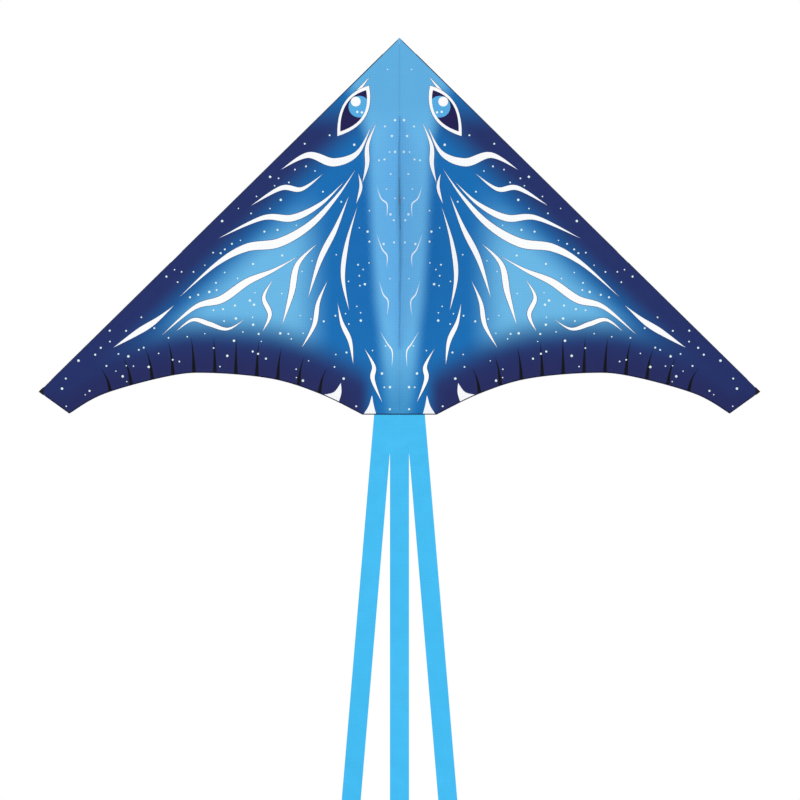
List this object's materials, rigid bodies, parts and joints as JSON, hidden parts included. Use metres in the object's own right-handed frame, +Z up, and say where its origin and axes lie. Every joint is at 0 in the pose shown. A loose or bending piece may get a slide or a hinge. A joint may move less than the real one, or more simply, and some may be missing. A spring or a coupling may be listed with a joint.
{
  "type": "delta kite",
  "caption": "Single-line delta kite: a triangular rod-framed sail with a keel and tow eyelet, a cross spreader that lifts off, folding wings and trailing ribbon tails.",
  "frame": {"origin": "middle of the tow eyelet's hole at the front corner of the keel, where the flying line clips on", "axes": "+Z up from the tails towards the nose, +Y from the keel towards the back of the sail, X along the span with +X at the right seen from the front"},
  "size_m": [1.4024, 0.1814, 1.7316],
  "materials": {
    "sail_print": "coated ripstop with a smooth printed face",
    "binding_tape": "woven polyester tape",
    "sleeve_cloth": "plain-weave polyester",
    "webbing": "heavy woven reinforcing cloth",
    "keel_cloth": "coated ripstop",
    "ribbon_cloth": "thin coated ripstop",
    "rod_composite": "pultruded glass-fibre rod, satin black",
    "vinyl": "soft dipped vinyl",
    "eyelet_metal": "nickel-plated"
  },
  "bodies": {
    "centre": {"sail_inner_left": "sail_print", "sail_inner_right": "sail_print", "binding_inner_left": "binding_tape", "binding_inner_right": "binding_tape", "spine_rod": "rod_composite", "spine_cap_top": "vinyl", "spine_cap_bottom": "vinyl", "spine_sleeve": "sleeve_cloth", "nose_pocket": "webbing", "tail_pocket": "webbing"},
    "wing_left": {"sail_wing_left": "sail_print", "binding_wing_left": "binding_tape", "tip_cap_left": "webbing", "spreader_clip_left": "vinyl", "edge_rod_left": "rod_composite", "edge_cap_top_left": "vinyl", "edge_cap_bottom_left": "vinyl", "edge_sleeve_upper_left": "sleeve_cloth", "edge_sleeve_lower_left": "sleeve_cloth"},
    "wing_right": {"sail_wing_right": "sail_print", "binding_wing_right": "binding_tape", "tip_cap_right": "webbing", "spreader_clip_right": "vinyl", "edge_rod_right": "rod_composite", "edge_cap_top_right": "vinyl", "edge_cap_bottom_right": "vinyl", "edge_sleeve_upper_right": "sleeve_cloth", "edge_sleeve_lower_right": "sleeve_cloth"},
    "spreader": {"spreader_rod": "rod_composite", "spreader_cap_left": "vinyl", "spreader_cap_right": "vinyl"},
    "keel": {"keel_panel": "keel_cloth", "keel_patch_left": "webbing", "keel_patch_right": "webbing", "keel_eyelet": "eyelet_metal"},
    "tail_header": {"tail_header": "ribbon_cloth"},
    "ribbon_left": {"ribbon_left": "ribbon_cloth"},
    "ribbon_centre": {"ribbon_centre": "ribbon_cloth"},
    "ribbon_right": {"ribbon_right": "ribbon_cloth"}
  },
  "joints": [
    {"name": "wing_fold_left", "type": "hinge", "parent": "centre", "child": "wing_left", "pos_m": [0, 0.1495, 0.33], "axis": [0.454, 0, 0.891], "range_deg": [0, 165]},
    {"name": "wing_fold_right", "type": "hinge", "parent": "centre", "child": "wing_right", "pos_m": [0, 0.1495, 0.33], "axis": [0.454, 0, -0.891], "range_deg": [0, 165]},
    {"name": "spreader_lift", "type": "slide", "parent": "centre", "child": "spreader", "axis": [0, 1, 0], "range_m": [0, 0.1]},
    {"name": "keel_swing", "type": "hinge", "parent": "centre", "child": "keel", "pos_m": [0, 0.149, 0], "axis": [0, 0, 1], "range_deg": [-40, 40]},
    {"name": "header_swing", "type": "hinge", "parent": "centre", "child": "tail_header", "pos_m": [0, 0.15, -0.4026], "axis": [1, 0, 0], "range_deg": [-60, 60]},
    {"name": "ribbon_left_swing", "type": "hinge", "parent": "tail_header", "child": "ribbon_left", "pos_m": [0, 0.15, -0.4786], "axis": [1, 0, 0], "range_deg": [-60, 60]},
    {"name": "ribbon_centre_swing", "type": "hinge", "parent": "tail_header", "child": "ribbon_centre", "pos_m": [0, 0.15, -0.4786], "axis": [1, 0, 0], "range_deg": [-60, 60]},
    {"name": "ribbon_right_swing", "type": "hinge", "parent": "tail_header", "child": "ribbon_right", "pos_m": [0, 0.15, -0.4786], "axis": [1, 0, 0], "range_deg": [-60, 60]}
  ]
}
